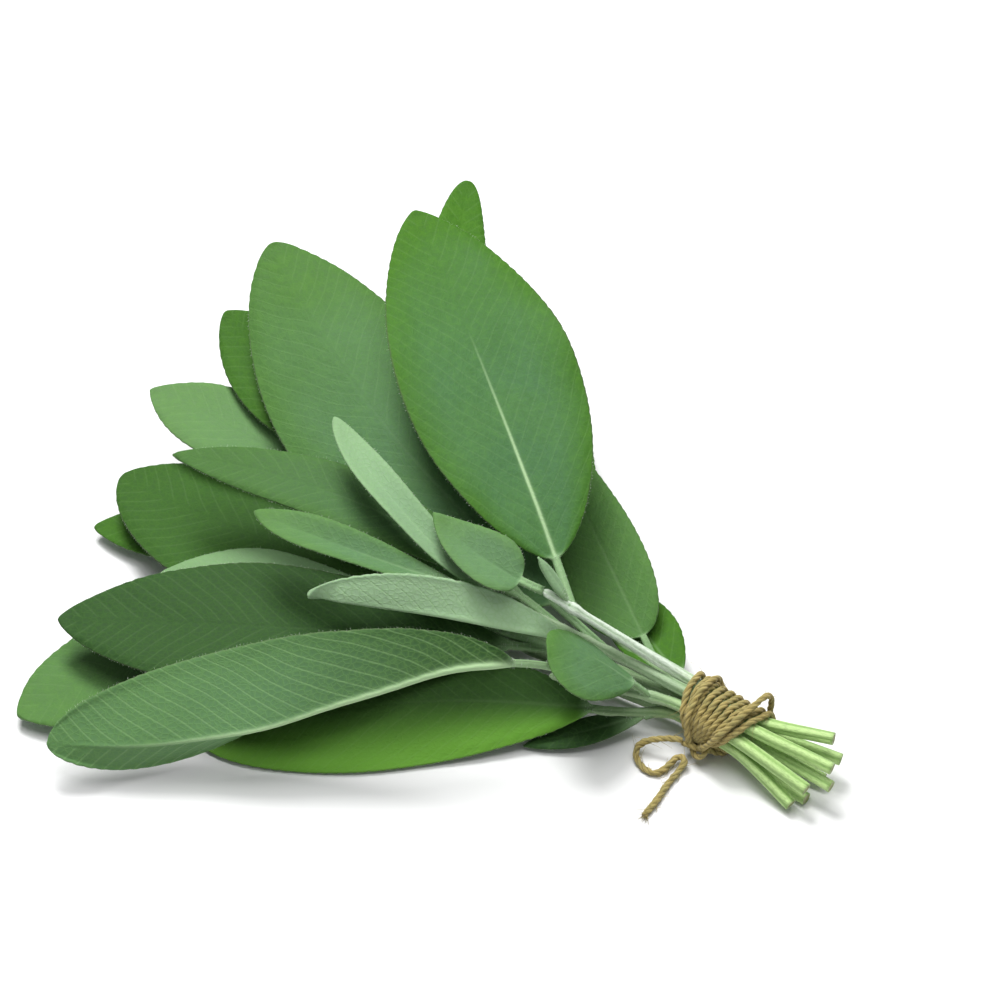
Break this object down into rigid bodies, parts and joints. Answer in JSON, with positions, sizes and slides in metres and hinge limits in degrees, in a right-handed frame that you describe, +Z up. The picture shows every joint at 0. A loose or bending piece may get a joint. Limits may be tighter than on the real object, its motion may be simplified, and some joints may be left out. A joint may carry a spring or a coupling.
{
  "type": "tied sage bunch",
  "caption": "Fresh garden sage, cut leafy stems tied near their cut ends with wound twine, a knot and a loop; it lies flat, its leaves fanned out.",
  "frame": {"origin": "middle of the bounding box, at the bottom, on the table", "axes": "+X along the bunch from the cut ends to the leaf tips, +Z up from the table, +Y level and to the left when looking along +X"},
  "size_m": [0.171, 0.161, 0.0578],
  "materials": {
    "sage_leaf": "soft matt grey-green, finely haired and pebbled, paler on the underside and on the stems",
    "twine": "dull twisted jute twine with stray fibres"
  },
  "bodies": {
    "root": {"leafy_stem_top": "sage_leaf", "leafy_stem_centre": "sage_leaf", "leafy_stem_front": "sage_leaf", "leafy_stem_front_low": "sage_leaf", "leafy_stem_middle": "sage_leaf", "leafy_stem_back_low": "sage_leaf", "leafy_stem_back": "sage_leaf", "leafy_stem_bottom": "sage_leaf", "twine_wrap": "twine", "twine_bow": "twine"}
  },
  "joints": []
}
